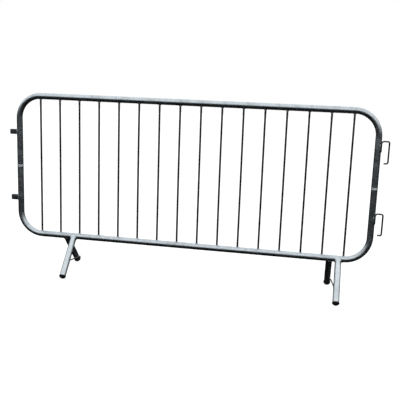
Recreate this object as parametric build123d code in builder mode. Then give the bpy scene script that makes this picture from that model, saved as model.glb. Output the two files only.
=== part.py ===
# Galvanised crowd-control barrier with fixed legs.
#
# A rounded rectangle of round tube, bent as two U-shaped halves that meet over inner sleeves in
# the uprights, holds a row of thin round bars. Two pairs of slanting legs are welded under the
# bottom rail. One end carries two bent-rod hooks, the other two flat-bar loops, so that barriers
# hang into each other in a row.
#
# Frame: origin on the ground under the middle of the barrier, X along the barrier (hooks at +X),
# Y across it, Z up. Everything is in millimetres.
import os
from math import atan, cos, hypot, radians, sin

from build123d import *

os.makedirs("parts", exist_ok=True)

# ---- driving dimensions -------------------------------------------------------------------
frame_length = 2200.0          # outside to outside of the two uprights
overall_height = 1107.0        # ground to the top of the top rail
bottom_rail_height = 222.0     # ground to the bottom rail's centre
corner_radius = 140.0          # bend radius of the tube's centre line
corner_tail = 16.0             # straight piece of rail that belongs to a corner

tube_diameter = 38.0
tube_wall = 1.5

bar_count = 16
bar_diameter = 12.0
bar_wall = 1.0
bar_end_gap = 141.0            # end bar's centre to the upright's centre
bar_hole_clearance = 0.25      # on the radius, in the punched holes
bar_seat = 3.0                 # how far a bar's end stands inside the rail's bore

leg_diameter = tube_diameter   # the legs are cut from the frame's tube
leg_wall = tube_wall
leg_lean = 42.5                # degrees from upright
leg_pair_gap = 14.0            # clear space between a pair's legs, along the rail
left_pair_inset = 328.0        # left upright's centre to the middle of its leg pair
right_pair_inset = 196.0       # the same at the right end
leg_vent_diameter = 14.0       # hole through the rail wall into each leg

cap_overhang = 2.5             # the foot cap's rim past the leg tube, all round
cap_rim = 2.0                  # straight height of the rim, under the tube's end
cap_dome_height = 13.0
cap_stem_length = 22.0         # inside the leg tube
cap_stem_clearance = 0.2       # on the radius, in the leg's bore
sole_depth = 1.2               # how much of the cap's dome is flattened by the ground

brace_diameter = 8.0
brace_front_reach = 175.0      # down the front leg from the rail's centre line
brace_front_turn = 45.0        # degrees round the front leg, from its gap side to its underside
brace_front_overhang = 3.0     # how far the rod runs on past the place where it is welded
brace_rear_reach = 250.0       # down the rear leg, where the rod lies on its gap side
brace_rear_overhang = 15.0

sleeve_length = 120.0
sleeve_wall = 2.0
sleeve_clearance = 0.15        # on the radius, in the tube's bore
seam_gap = 3.0                 # between the tube ends, filled by the weld
seam_bead_width = 8.0
seam_bead_crown = 0.9
plug_weld_diameter = 9.0       # holds the sleeve, on the side that faces the bars
plug_weld_rise = 48.0          # above the seam
plug_weld_crown = 0.8

connector_reach = 45.0         # how far hooks and loops stand out from the upright
connector_inset = 225.5        # rail's centre line to the middle of the nearest loop

loop_bar_height = 30.0
loop_bar_thickness = 5.0
loop_slot_width = 20.0
loop_edge_rounding = 0.8

hook_rod_diameter = 10.0
hook_arm_rise = 62.0           # the hook's arm above the middle of its loop
hook_drop = 124.0              # arm to return, centre to centre
hook_root_length = 62.0        # arm down to the end of the welded leg
hook_root_angle = 48.0         # the welded leg's place round the upright, towards the front
hook_root_bend = 14.0
hook_bend = 9.0
hook_return_length = 23.0      # outer leg's centre line to the tip

bar_bead_leg = 3.0             # size of the fillet weld round a bar
leg_bead = 4.0                 # size of the weld round a leg
rod_bead_radius = 3.6
strap_bead_radius = 4.0
brace_bead_radius = 3.2
brace_groove = 3.8             # centre of a bead at the rear leg to the rod's centre line
brace_bead_length = 12.0
hook_bead_length = 40.0

# ---- places worked out from them ------------------------------------------------------------
tube_radius = tube_diameter / 2
tube_bore_radius = tube_radius - tube_wall
upright_x = frame_length / 2 - tube_radius
top_rail_z = overall_height - tube_radius
bottom_rail_z = bottom_rail_height
seam_z = (top_rail_z + bottom_rail_z) / 2

bar_pitch = 2 * (upright_x - bar_end_gap) / (bar_count - 1)
bar_places = [bar_pitch * (i - (bar_count - 1) / 2) for i in range(bar_count)]
bar_radius = bar_diameter / 2

leg_radius = leg_diameter / 2
leg_pair_pitch = leg_diameter + leg_pair_gap
left_pair_x = left_pair_inset - upright_x
right_pair_x = upright_x - right_pair_inset
lower_connector_z = bottom_rail_z + connector_inset
upper_connector_z = top_rail_z - connector_inset


def rail_cylinder(z, radius, length=2 * frame_length):
    """A solid bar along X at height z, for coping what meets a rail."""
    with BuildPart(Plane(origin=(0, 0, z), z_dir=(1, 0, 0)), mode=Mode.PRIVATE) as tool:
        Cylinder(radius, length)
    return tool.part


def upright_cylinder(side, radius):
    """A solid bar along Z on the left (-1) or right (+1) upright."""
    with BuildPart(Plane(origin=(side * upright_x, 0, seam_z)), mode=Mode.PRIVATE) as tool:
        Cylinder(radius, 2 * overall_height)
    return tool.part


def save(builder, name):
    """Label a finished piece and write its STEP file."""
    builder.part.label = name
    export_step(builder.part, f"parts/{name}.step")


# ---- frame tubes ------------------------------------------------------------------------------
def leg_plane(pair_x, side):
    """The plane square to a leg at the rail's centre line, its Z axis running down the leg.

    side is -1 for the front leg, which stands to the right in its pair, and +1 for the rear one.
    """
    lean = radians(leg_lean)
    x = pair_x - side * leg_pair_pitch / 2
    return Plane(origin=(x, 0, bottom_rail_z), x_dir=(1, 0, 0),
                 z_dir=(0, side * sin(lean), -cos(lean)))


legs = {
    "left_front_leg": (left_pair_x, -1),
    "left_rear_leg": (left_pair_x, 1),
    "right_front_leg": (right_pair_x, -1),
    "right_rear_leg": (right_pair_x, 1),
}


def half_rod(rail_z, direction, radius):
    """A solid rod along one U-shaped half: upright, corner, rail, corner, upright.

    direction is +1 for the upper half and -1 for the lower one.
    """
    end_z = seam_z + direction * seam_gap / 2
    with BuildPart(mode=Mode.PRIVATE) as rod:
        with BuildLine(Plane.XZ) as path:
            FilletPolyline((-upright_x, end_z), (-upright_x, rail_z), (upright_x, rail_z),
                           (upright_x, end_z), radius=corner_radius)
        with BuildSketch(Plane(origin=(-upright_x, 0, end_z), z_dir=(0, 0, direction))):
            Circle(radius)
        sweep(path=path.line)
    return rod.part


def frame_half(rail_z, direction):
    """One U-shaped half of the frame, bored through and punched for the bars."""
    with BuildPart() as half:
        add(half_rod(rail_z, direction, tube_radius))
        add(half_rod(rail_z, direction, tube_bore_radius), mode=Mode.SUBTRACT)
        with BuildSketch(Plane.XY.offset(rail_z)):
            with Locations(*[(x, 0) for x in bar_places]):
                Circle(bar_radius + bar_hole_clearance)
        extrude(amount=-direction * tube_diameter, mode=Mode.SUBTRACT)
    return half


def plug_rod(side, start, end):
    """A rod across the upright's inner wall, between two distances from the upright's middle."""
    plane = Plane(origin=(side * upright_x, 0, seam_z + plug_weld_rise), z_dir=(-side, 0, 0))
    with BuildPart(mode=Mode.PRIVATE) as rod:
        with BuildSketch(plane.offset(start)):
            Circle(plug_weld_diameter / 2)
        extrude(amount=end - start)
    return rod.part


def block(x_start, x_end, z_start, z_end):
    """A solid block between two X and two Z, wide enough across to hold the tube."""
    with BuildPart(mode=Mode.PRIVATE) as tool:
        with Locations(((x_start + x_end) / 2, 0, (z_start + z_end) / 2)):
            Box(abs(x_end - x_start), 2 * tube_diameter, abs(z_end - z_start))
    return tool.part


def save_half(half, rail_name, level, rail_z, direction):
    """Write a half of the frame as its rail, two corners and two uprights, which meet face to face."""
    rail_end = upright_x - corner_radius - corner_tail
    bend_z = rail_z - direction * corner_radius
    past_z = rail_z + direction * tube_diameter
    far_x = frame_length
    cuts = {rail_name: block(-rail_end, rail_end, bend_z, past_z)}
    for end_name, side in (("left", -1), ("right", 1)):
        cuts[f"{end_name}_{level}_corner"] = block(side * rail_end, side * far_x, bend_z, past_z)
        cuts[f"{end_name}_{level}_upright"] = block(side * rail_end, side * far_x, seam_z, bend_z)
    for name, cut in cuts.items():
        with BuildPart() as piece:
            add(half.part)
            add(cut, mode=Mode.INTERSECT)
        save(piece, name)


with BuildPart() as upper_frame_tube:
    add(frame_half(top_rail_z, 1).part)
    for side in (-1, 1):
        add(plug_rod(side, 0, tube_diameter), mode=Mode.SUBTRACT)
save_half(upper_frame_tube, "top_rail", "upper", top_rail_z, 1)

with BuildPart() as lower_frame_tube:
    add(frame_half(bottom_rail_z, -1).part)
    for pair_x, side in legs.values():
        with BuildSketch(leg_plane(pair_x, side)):
            Circle(leg_vent_diameter / 2)
        extrude(amount=tube_diameter, mode=Mode.SUBTRACT)
save_half(lower_frame_tube, "bottom_rail", "lower", bottom_rail_z, -1)

# ---- joints in the uprights: an inner sleeve and a butt weld over it ---------------------------
sleeve_radius = tube_bore_radius - sleeve_clearance

for end_name, side in (("left", -1), ("right", 1)):
    with BuildPart(Plane(origin=(side * upright_x, 0, seam_z))) as sleeve:
        Cylinder(sleeve_radius, sleeve_length)
        Cylinder(sleeve_radius - sleeve_wall, sleeve_length, mode=Mode.SUBTRACT)
    save(sleeve, f"{end_name}_joint_sleeve")

    with BuildPart() as seam_weld:
        with BuildSketch(Plane(origin=(side * upright_x, 0, seam_z), x_dir=(1, 0, 0),
                               z_dir=(0, -1, 0))):
            with BuildLine():
                Polyline((tube_radius, seam_bead_width / 2), (tube_radius, seam_gap / 2),
                         (sleeve_radius, seam_gap / 2), (sleeve_radius, -seam_gap / 2),
                         (tube_radius, -seam_gap / 2), (tube_radius, -seam_bead_width / 2))
                ThreePointArc((tube_radius, -seam_bead_width / 2),
                              (tube_radius + seam_bead_crown, 0),
                              (tube_radius, seam_bead_width / 2))
            make_face()
        revolve(axis=Axis((side * upright_x, 0, 0), (0, 0, 1)))
    save(seam_weld, f"{end_name}_seam_weld")

with BuildPart() as plug_welds:
    for side in (-1, 1):
        add(plug_rod(side, 0, tube_radius + plug_weld_crown))
        add(upright_cylinder(side, sleeve_radius), mode=Mode.SUBTRACT)
save(plug_welds, "plug_welds")

# ---- infill bars, and the fillet welds round their ends ----------------------------------------
bar_bottom_z = bottom_rail_z + tube_bore_radius - bar_seat
bar_top_z = top_rail_z - tube_bore_radius + bar_seat

for number, x in enumerate(bar_places, start=1):
    with BuildPart(Plane(origin=(x, 0, (bar_top_z + bar_bottom_z) / 2))) as bar:
        Cylinder(bar_radius, bar_top_z - bar_bottom_z)
        Cylinder(bar_radius - bar_wall, bar_top_z - bar_bottom_z, mode=Mode.SUBTRACT)
    save(bar, f"infill_bar_{number:02d}")


def bar_welds(rail_z, direction):
    """A coned ring round every bar where it enters a rail; direction points to the bars."""
    foot_radius = bar_radius + bar_hole_clearance + bar_bead_leg
    rim_z = rail_z + direction * (tube_radius + bar_bead_leg)
    # the ring's foot runs down to where the rail's round side falls away under it
    foot_z = rail_z + direction * (tube_radius ** 2 - foot_radius ** 2) ** 0.5
    with BuildPart() as welds:
        for x in bar_places:
            with BuildSketch(Plane(origin=(x, 0, 0), x_dir=(1, 0, 0), z_dir=(0, -1, 0))):
                with BuildLine():
                    Polyline((bar_radius, rim_z), (bar_radius + bar_bead_leg / 4, rim_z),
                             (foot_radius, foot_z), (bar_radius, foot_z), close=True)
                make_face()
            revolve(axis=Axis((x, 0, 0), (0, 0, 1)))
        add(half_rod(rail_z, -direction, tube_radius), mode=Mode.SUBTRACT)
    return welds


save(bar_welds(top_rail_z, -1), "top_bar_welds")
save(bar_welds(bottom_rail_z, 1), "bottom_bar_welds")

# ---- legs, their welds and their rubber foot caps -----------------------------------------------
lean = radians(leg_lean)
cap_radius = leg_radius + cap_overhang
cap_stem_radius = leg_radius - leg_wall - cap_stem_clearance
dome_radius = (cap_radius ** 2 + cap_dome_height ** 2) / (2 * cap_dome_height)
# the dome's lowest point lies sole_depth under the ground before it is flattened
dome_centre = (bottom_rail_z + sole_depth - dome_radius) / cos(lean)
dome_start = dome_centre + dome_radius - cap_dome_height
leg_end = dome_start - cap_rim


def leg_cylinder(plane, radius, start, end):
    """A solid round bar along a leg, between two distances from the rail's centre line."""
    with BuildPart(mode=Mode.PRIVATE) as tool:
        with BuildSketch(plane.offset(start)):
            Circle(radius)
        extrude(amount=end - start)
    return tool.part


for name, (pair_x, side) in legs.items():
    plane = leg_plane(pair_x, side)
    with BuildPart() as leg:
        add(leg_cylinder(plane, leg_radius, 0, leg_end))
        add(leg_cylinder(plane, leg_radius - leg_wall, -tube_radius, leg_end), mode=Mode.SUBTRACT)
        add(rail_cylinder(bottom_rail_z, tube_radius), mode=Mode.SUBTRACT)
    save(leg, name)

    with BuildPart() as cap:
        with Locations(plane.offset(dome_centre)):
            Sphere(dome_radius)
        add(leg_cylinder(plane, 2 * cap_radius, dome_start, dome_start + 2 * cap_dome_height),
            mode=Mode.INTERSECT)
        add(leg_cylinder(plane, cap_radius, leg_end, dome_start))
        add(leg_cylinder(plane, cap_stem_radius, leg_end - cap_stem_length, leg_end))
        split(bisect_by=Plane.XY, keep=Keep.TOP)
    save(cap, name.replace("_leg", "_foot_cap"))

with BuildPart() as leg_welds:
    for pair_x, side in legs.values():
        plane = leg_plane(pair_x, side)
        with BuildPart(mode=Mode.PRIVATE) as bead:
            add(leg_cylinder(plane, leg_radius + leg_bead, 0, leg_end / 2))
            add(rail_cylinder(bottom_rail_z, tube_radius + leg_bead), mode=Mode.INTERSECT)
            add(rail_cylinder(bottom_rail_z, tube_radius), mode=Mode.SUBTRACT)
            add(leg_cylinder(plane, leg_radius, -tube_radius, leg_end), mode=Mode.SUBTRACT)
        add(bead.part)
save(leg_welds, "leg_welds")


# ---- leg braces: a thin rod from the front leg's underside to the rear leg's gap side ------------
brace_radius = brace_diameter / 2


def leg_contact(pair_x, side, reach, turn, distance):
    """A point beside a leg: turn degrees from its gap side to its underside, distance from its axis."""
    angle = radians(turn)
    return leg_plane(pair_x, side).from_local_coords(
        Vector(side * distance * cos(angle), side * distance * sin(angle), reach))


def rod_along(point, along, radius, start, end):
    """A solid round bar through a point, between two distances along its direction."""
    with BuildPart(mode=Mode.PRIVATE) as tool:
        with BuildSketch(Plane(origin=point + along * start, z_dir=along)):
            Circle(radius)
        extrude(amount=end - start)
    return tool.part


brace_lines = {}
for end_name, pair_x in (("left", left_pair_x), ("right", right_pair_x)):
    # the rod's end is cut to the front leg's round, so its centre line starts nearer to the leg
    front = leg_contact(pair_x, -1, brace_front_reach, brace_front_turn,
                        leg_radius + brace_radius / 2)
    rear = leg_contact(pair_x, 1, brace_rear_reach, 0, leg_radius + brace_radius)
    along = (rear - front).normalized()
    brace_lines[end_name] = (pair_x, front, rear, along)
    with BuildPart() as brace:
        add(rod_along(front, along, brace_radius, -brace_front_overhang,
                      (rear - front).length + brace_rear_overhang))
        for side in (-1, 1):
            add(leg_cylinder(leg_plane(pair_x, side), leg_radius, 0, leg_end),
                mode=Mode.SUBTRACT)
    save(brace, f"{end_name}_leg_brace")

with BuildPart() as brace_welds:
    for pair_x, front, rear, along in brace_lines.values():
        front_leg, rear_leg = leg_plane(pair_x, -1), leg_plane(pair_x, 1)
        with BuildPart(mode=Mode.PRIVATE) as collar:
            add(rod_along(front, along, brace_radius + brace_bead_radius, -brace_front_overhang,
                          leg_radius))
            add(leg_cylinder(front_leg, leg_radius + brace_bead_radius, 0, leg_end),
                mode=Mode.INTERSECT)
            add(leg_cylinder(front_leg, leg_radius, 0, leg_end), mode=Mode.SUBTRACT)
            add(rod_along(front, along, brace_radius, -tube_diameter, tube_diameter),
                mode=Mode.SUBTRACT)
        add(collar.part)
        # at the rear leg a bead fills the groove above and below the rod
        across = along.cross(Vector(1, 0, 0)).normalized()
        for turn in (-1, 1):
            groove = rear + across * (turn * brace_groove) - Vector(brace_radius, 0, 0)
            with BuildPart(mode=Mode.PRIVATE) as bead:
                add(rod_along(groove, along, brace_bead_radius, -brace_bead_length / 2,
                              brace_bead_length / 2))
                add(rod_along(rear, along, brace_radius, -tube_diameter, tube_diameter),
                    mode=Mode.SUBTRACT)
                add(leg_cylinder(rear_leg, leg_radius, 0, leg_end), mode=Mode.SUBTRACT)
            add(bead.part)
save(brace_welds, "brace_welds")

# ---- left end: flat-bar loops that take the next barrier's hooks --------------------------------
loop_turn_radius = loop_slot_width / 2 + loop_bar_thickness
loop_turn_x = -(upright_x + tube_radius + connector_reach - loop_turn_radius)


def loop_blank(half_width, bottom_z, height):
    """A solid of the loop's outline in plan: from the upright to the round turn at the end."""
    with BuildPart(mode=Mode.PRIVATE) as blank:
        with BuildSketch(Plane.XY.offset(bottom_z)):
            with BuildLine():
                Polyline((loop_turn_x, half_width), (-upright_x, half_width),
                         (-upright_x, -half_width), (loop_turn_x, -half_width))
                ThreePointArc((loop_turn_x, -half_width), (loop_turn_x - half_width, 0),
                              (loop_turn_x, half_width))
            make_face()
        extrude(amount=height)
    return blank.part


for level, z in (("upper", upper_connector_z), ("lower", lower_connector_z)):
    loop_bottom_z = z - loop_bar_height / 2
    with BuildPart() as loop:
        add(loop_blank(loop_turn_radius, loop_bottom_z, loop_bar_height))
        rims = loop.faces().filter_by(Axis.Z).edges()
        fillet(rims, loop_edge_rounding)
        add(loop_blank(loop_slot_width / 2, loop_bottom_z, loop_bar_height), mode=Mode.SUBTRACT)
        add(upright_cylinder(-1, tube_radius), mode=Mode.SUBTRACT)
    save(loop, f"{level}_loop")

strap_root_x = -upright_x - (tube_radius ** 2 - loop_turn_radius ** 2) ** 0.5
with BuildPart() as loop_welds:
    for z in (upper_connector_z, lower_connector_z):
        for side in (-1, 1):
            with BuildSketch(Plane.XY.offset(z - loop_bar_height / 2 + loop_edge_rounding)):
                with Locations((strap_root_x, side * loop_turn_radius)):
                    Circle(strap_bead_radius)
            extrude(amount=loop_bar_height - 2 * loop_edge_rounding)
    add(upright_cylinder(-1, tube_radius), mode=Mode.SUBTRACT)
    add(loop_blank(loop_turn_radius, 0, overall_height), mode=Mode.SUBTRACT)
save(loop_welds, "loop_welds")

# ---- right end: bent-rod hooks --------------------------------------------------------------------
hook_rod_radius = hook_rod_diameter / 2
root_angle = radians(-hook_root_angle)
root_distance = tube_radius + hook_rod_radius
hook_root_x = upright_x + root_distance * cos(root_angle)
hook_y = root_distance * sin(root_angle)
hook_outer_x = upright_x + tube_radius + connector_reach - hook_rod_radius

for level, loop_z in (("upper", upper_connector_z), ("lower", lower_connector_z)):
    arm_z = loop_z + hook_arm_rise
    with BuildPart() as hook:
        with BuildLine(Plane.XZ.offset(-hook_y)) as path:
            FilletPolyline((hook_root_x, arm_z - hook_root_length), (hook_root_x, arm_z),
                           (hook_outer_x, arm_z), (hook_outer_x, arm_z - hook_drop),
                           (hook_outer_x - hook_return_length, arm_z - hook_drop),
                           radius=[hook_root_bend, hook_bend, hook_bend])
        with BuildSketch(Plane(origin=path.line @ 0, z_dir=path.line % 0)):
            Circle(hook_rod_radius)
        sweep(path=path.line)
        ends = hook.faces().filter_by(GeomType.PLANE).edges()
        fillet(ends, hook_rod_radius / 3)
    save(hook, f"{level}_hook")

with BuildPart() as hook_welds:
    for loop_z in (upper_connector_z, lower_connector_z):
        bottom_z = loop_z + hook_arm_rise - hook_root_length + hook_rod_radius
        for turn in (-1, 1):
            # beside the line where the rod touches the upright, a little outwards of it
            bead_distance = hypot(tube_radius + rod_bead_radius / 2, rod_bead_radius * 1.5)
            bead_angle = root_angle + turn * atan(
                rod_bead_radius * 1.5 / (tube_radius + rod_bead_radius / 2))
            with BuildSketch(Plane.XY.offset(bottom_z)):
                with Locations((upright_x + bead_distance * cos(bead_angle),
                                bead_distance * sin(bead_angle))):
                    Circle(rod_bead_radius)
            extrude(amount=hook_bead_length)
    add(upright_cylinder(1, tube_radius), mode=Mode.SUBTRACT)
    with BuildPart(Plane(origin=(hook_root_x, hook_y, seam_z)), mode=Mode.PRIVATE) as rod:
        Cylinder(hook_rod_radius, 2 * overall_height)
    add(rod.part, mode=Mode.SUBTRACT)
save(hook_welds, "hook_welds")
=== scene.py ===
# %% [markdown]
# # A galvanised crowd-control barrier
# The real barrier is a rounded rectangle of round steel tube with thin bars across it. It is welded
# up, and only then dipped in molten zinc, so tubes, welds, hooks and loops all carry the same skin
# of pale crystals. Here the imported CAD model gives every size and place, and each visible piece is
# made again as a finer surface around it.

# %% Load the frame
from collections import namedtuple
from math import ceil, cos, pi, radians, sin, sqrt

import bmesh
import bpy
import numpy as np
from mathutils import Matrix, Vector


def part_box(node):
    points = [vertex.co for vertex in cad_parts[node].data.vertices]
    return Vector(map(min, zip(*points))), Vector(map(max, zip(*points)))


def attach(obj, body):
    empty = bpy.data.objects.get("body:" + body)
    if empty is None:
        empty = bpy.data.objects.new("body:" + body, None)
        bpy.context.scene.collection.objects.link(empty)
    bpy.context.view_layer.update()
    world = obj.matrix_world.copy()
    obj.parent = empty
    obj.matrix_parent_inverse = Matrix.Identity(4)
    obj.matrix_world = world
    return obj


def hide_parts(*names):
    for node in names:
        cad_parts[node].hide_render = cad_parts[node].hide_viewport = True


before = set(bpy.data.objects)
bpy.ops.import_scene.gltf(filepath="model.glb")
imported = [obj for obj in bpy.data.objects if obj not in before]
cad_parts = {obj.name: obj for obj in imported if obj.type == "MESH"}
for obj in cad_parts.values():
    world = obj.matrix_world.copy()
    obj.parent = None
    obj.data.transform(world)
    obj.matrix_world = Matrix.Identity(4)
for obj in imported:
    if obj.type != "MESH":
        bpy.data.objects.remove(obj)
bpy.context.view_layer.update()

scene = bpy.context.scene
MM = 0.001
ENDS, LEVELS = ("left", "right"), ("upper", "lower")

# %% [markdown]
# ## Sizes
# A copy of a size goes stale when the design changes. So places are read from the boxes of the CAD
# nodes, and only what a box can't tell, such as a bend's radius, is written here as a number.

# %% Sizes read from the frame
upper_low, upper_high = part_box("top_rail")
lower_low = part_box("bottom_rail")[0]
tube_radius = (upper_high.y - upper_low.y) / 2
upright_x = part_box("right_upper_upright")[1].x - tube_radius
top_rail_z = upper_high.z - tube_radius
bottom_rail_z = lower_low.z + tube_radius
seam_low, seam_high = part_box("left_seam_weld")
seam_z = (seam_low.z + seam_high.z) / 2
seam_width = seam_high.z - seam_low.z

bar_names = sorted(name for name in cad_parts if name.startswith("infill_bar_"))
bar_boxes = [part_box(name) for name in bar_names]
bar_places = [(low.x + high.x) / 2 for low, high in bar_boxes]
bar_low_z, bar_high_z = bar_boxes[0][0].z, bar_boxes[0][1].z
bar_radius = (bar_boxes[0][1].x - bar_boxes[0][0].x) / 2

bend_radius = 140 * MM
tube_wall = 1.5 * MM
bar_wall = 1.0 * MM
seam_gap = 3 * MM
print("tube", tube_radius, "uprights at", round(upright_x, 4), "rails at", bottom_rail_z, top_rail_z)

# %% Legs: where they stand and how they lean
leg_lean = radians(42.5)
leg_radius = tube_radius
cap_rim, cap_dome_height, sole_depth = 2 * MM, 13 * MM, 1.2 * MM
Leg = namedtuple("Leg", "name x side")
legs = []
for end in ENDS:
    for place, side in (("front", -1), ("rear", 1)):
        low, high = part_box(f"{end}_{place}_leg")
        legs.append(Leg(f"{end}_{place}", (low.x + high.x) / 2, side))
cap_low, cap_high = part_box("left_front_foot_cap")
cap_radius = (cap_high.x - cap_low.x) / 2
dome_radius = (cap_radius ** 2 + cap_dome_height ** 2) / (2 * cap_dome_height)
dome_centre = (bottom_rail_z + sole_depth - dome_radius) / cos(leg_lean)
leg_end = dome_centre + dome_radius - cap_dome_height - cap_rim
print("legs at", [round(leg.x, 4) for leg in legs], "length", round(leg_end, 4))

# %% [markdown]
# ## Surfaces from arrays
# Blender can make a tube with a modifier or a bevelled curve. Computing its points with numpy
# instead leaves room for what a modifier doesn't know: a bend that is pressed a little flat, zinc
# that ran before it set, a bead with ripples. A shell here is a grid of points. Its columns always
# close round, and its rows either close too, as on a ring, or end in two caps.

# %% Grids into one mesh
Shell = namedtuple("Shell", "points pattern ring")


def shell(points, pattern=None, ring=False):
    """A grid of points with the coordinates that its finish follows; by default those points."""
    return Shell(points, points if pattern is None else pattern, ring)


def grid_faces(rows, columns, first, ring):
    """Corner numbers of a grid's quads: each joins two rows and two columns, the last the first."""
    row, column = np.meshgrid(np.arange(rows if ring else rows - 1), np.arange(columns), indexing="ij")
    below, beside = (row + 1) % rows, (column + 1) % columns
    quads = np.stack([row * columns + column, row * columns + beside,
                      below * columns + beside, below * columns + column], -1)
    return first + quads.reshape(-1, 4)


def cap_faces(ring_first, columns, centre):
    """Triangles from one ring of points to a point in its middle."""
    here = ring_first + np.arange(columns)
    beside = ring_first + (np.arange(columns) + 1) % columns
    return np.stack([here, beside, np.full(columns, centre)], -1)


def make_mesh(name, shells):
    """All shells as one mesh, with the pattern coordinates in a point attribute named pattern."""
    points, pattern, quads, fans, first = [], [], [], [], 0
    for part in shells:
        rows, columns = part.points.shape[:2]
        flat, flat_pattern = part.points.reshape(-1, 3), part.pattern.reshape(-1, 3)
        quads.append(grid_faces(rows, columns, first, part.ring))
        if not part.ring:
            ends = [part.points[0].mean(0), part.points[-1].mean(0)]
            end_patterns = [part.pattern[0].mean(0), part.pattern[-1].mean(0)]
            flat, flat_pattern = np.vstack([flat, ends]), np.vstack([flat_pattern, end_patterns])
            centre = first + rows * columns
            fans.append(cap_faces(first, columns, centre))
            fans.append(cap_faces(first + (rows - 1) * columns, columns, centre + 1)[:, ::-1])
        points.append(flat)
        pattern.append(flat_pattern)
        first += len(flat)
    points, pattern, quads = np.vstack(points), np.vstack(pattern), np.vstack(quads)
    fans = np.vstack(fans) if fans else np.zeros((0, 3), int)

    mesh = bpy.data.meshes.new(name)
    mesh.vertices.add(len(points))
    mesh.vertices.foreach_set("co", points.ravel())
    corners = np.concatenate([quads.ravel(), fans.ravel()])
    mesh.loops.add(len(corners))
    mesh.loops.foreach_set("vertex_index", corners.astype(np.int32))
    sides = np.concatenate([np.full(len(quads), 4), np.full(len(fans), 3)])
    mesh.polygons.add(len(sides))
    starts = np.concatenate([[0], np.cumsum(sides)[:-1]])
    mesh.polygons.foreach_set("loop_start", starts.astype(np.int32))
    mesh.update(calc_edges=True)
    layer = mesh.attributes.new("pattern", "FLOAT_VECTOR", "POINT")
    layer.data.foreach_set("vector", pattern.ravel())
    return mesh


# %% A finished piece
def make_piece(name, shells, material, slot, *nodes):
    """One object from its shells, faces turned outwards, riding on the frame in place of nodes."""
    mesh = make_mesh(name, shells)
    work = bmesh.new()
    work.from_mesh(mesh)
    bmesh.ops.recalc_face_normals(work, faces=work.faces)
    work.to_mesh(mesh)
    work.free()
    mesh.shade_smooth()
    mesh.materials.append(material)
    piece = bpy.data.objects.new(name, mesh)
    scene.collection.objects.link(piece)
    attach(piece, "root")
    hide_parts(*nodes)
    mesh.calc_loop_triangles()
    print(f"{name}: {len(shells)} shells, {len(mesh.loop_triangles)} triangles")
    return piece


# %% [markdown]
# ## Unevenness
# Hand-welded, hot-dipped steel is never quite true. A few cosine waves in random directions make a
# smooth unevenness at any point in space, with no seam where a tube closes on itself. The random
# numbers are seeded, so every run gives the same barrier.

# %% Smooth noise
def lumps(points, size, seed):
    """Smooth unevenness, mostly between -1 and 1, at an array of points.

    Eight plane waves have random directions, starts and lengths near size. Their cosines are added
    and divided by four.
    """
    rng = np.random.default_rng(seed)
    directions = rng.normal(size=(8, 3))
    directions /= np.linalg.norm(directions, axis=1, keepdims=True)
    per_metre = directions / (size * rng.uniform(0.7, 1.6, (8, 1)))
    return np.cos(points @ per_metre.T * 2 * pi + rng.uniform(0, 2 * pi, 8)).sum(-1) / 4


def round_angles(count):
    """Angles once round a circle, without the last, which is the first again."""
    return np.linspace(0, 2 * pi, count, endpoint=False)


# %% Flat bent paths
def bent_path(start, heading, runs, step=8 * MM, bend_step=radians(4)):
    """Places, headings and distances along a flat path of straight runs and round bends.

    runs is a list of (length, turn). Along a run the heading changes evenly by turn. A small step
    that turns by h moves along its chord, which is its length times sin(h/2) / (h/2).
    """
    lengths, turns = [], []
    for length, turn in runs:
        count = max(1, ceil(length / step), ceil(abs(turn) / bend_step))
        lengths.append(np.full(count, length / count))
        turns.append(np.full(count, turn / count))
    lengths, turns = np.concatenate(lengths), np.concatenate(turns)
    headings = heading + np.concatenate([[0], np.cumsum(turns)])
    chords = lengths * np.sinc(turns / 2 / pi)
    middles = headings[:-1] + turns / 2
    steps = np.stack([chords * np.cos(middles), chords * np.sin(middles)], -1)
    places = np.asarray(start) + np.vstack([np.zeros((1, 2)), np.cumsum(steps, 0)])
    return places, headings, np.concatenate([[0], np.cumsum(lengths)])


# %% Sections along a path
def carry(centres, sides, ups, reach, lift):
    """A section carried along a path: centre + reach * side + lift * up, for every row and column."""
    return centres[:, None] + reach[..., None] * sides[:, None] + lift[..., None] * ups[:, None]


def round_skin(centres, sides, ups, radius, angle):
    """A round section carried along a path, with one radius or one for every row and column."""
    return carry(centres, sides, ups, radius * np.cos(angle), radius * np.sin(angle))


def follow(reach, lift, travelled, offset):
    """Pattern coordinates of a bent piece as if it were straight: its section and its length."""
    along = np.broadcast_to((travelled + offset)[:, None], reach.shape)
    return np.stack([reach, lift, along], -1)


def stand_up(flat, heading, y=0.0):
    """A flat path stood upright along the barrier: its places, left sides, Y directions, headings."""
    level = 0 * heading
    places = np.stack([flat[:, 0], level + y, flat[:, 1]], -1)
    left = np.stack([-np.sin(heading), level, np.cos(heading)], -1)
    across = np.tile([0.0, 1.0, 0.0], (len(flat), 1))
    return places, left, across, np.stack([np.cos(heading), level, np.sin(heading)], -1)


def worn_radius(radius, depth, points, size, seed):
    """A radius less a depth, give or take that depth times the unevenness at each point."""
    return radius - depth * (1 - lumps(points, size, seed))


# %% [markdown]
# ## The zinc
# Molten zinc sets as crystals, so a dipped surface is a mosaic of cells, some brighter than others:
# the spangle. It also runs before it sets, which leaves thick streaks and small bumps, and the
# steel under it shows as dull grey patches where the coat grew thick. Later come white bloom from
# rain, dirt near the ground and rub marks where barriers are stacked. Each of these is a node group
# that every steel material shares and sets with its own numbers.

# %% Node helpers
def node(tree, kind, place, **settings):
    """A new node at a place, in grid steps, with its settings."""
    made = tree.nodes.new("ShaderNode" + kind)
    made.location = (place[0] * 190, -place[1] * 170)
    for key, value in settings.items():
        setattr(made, key, value)
    return made


def wire(tree, source, target):
    """Join an output to an input, or set the input when the source is a plain value."""
    if isinstance(source, bpy.types.NodeSocket):
        tree.links.new(source, target)
    else:
        target.default_value = source


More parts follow.
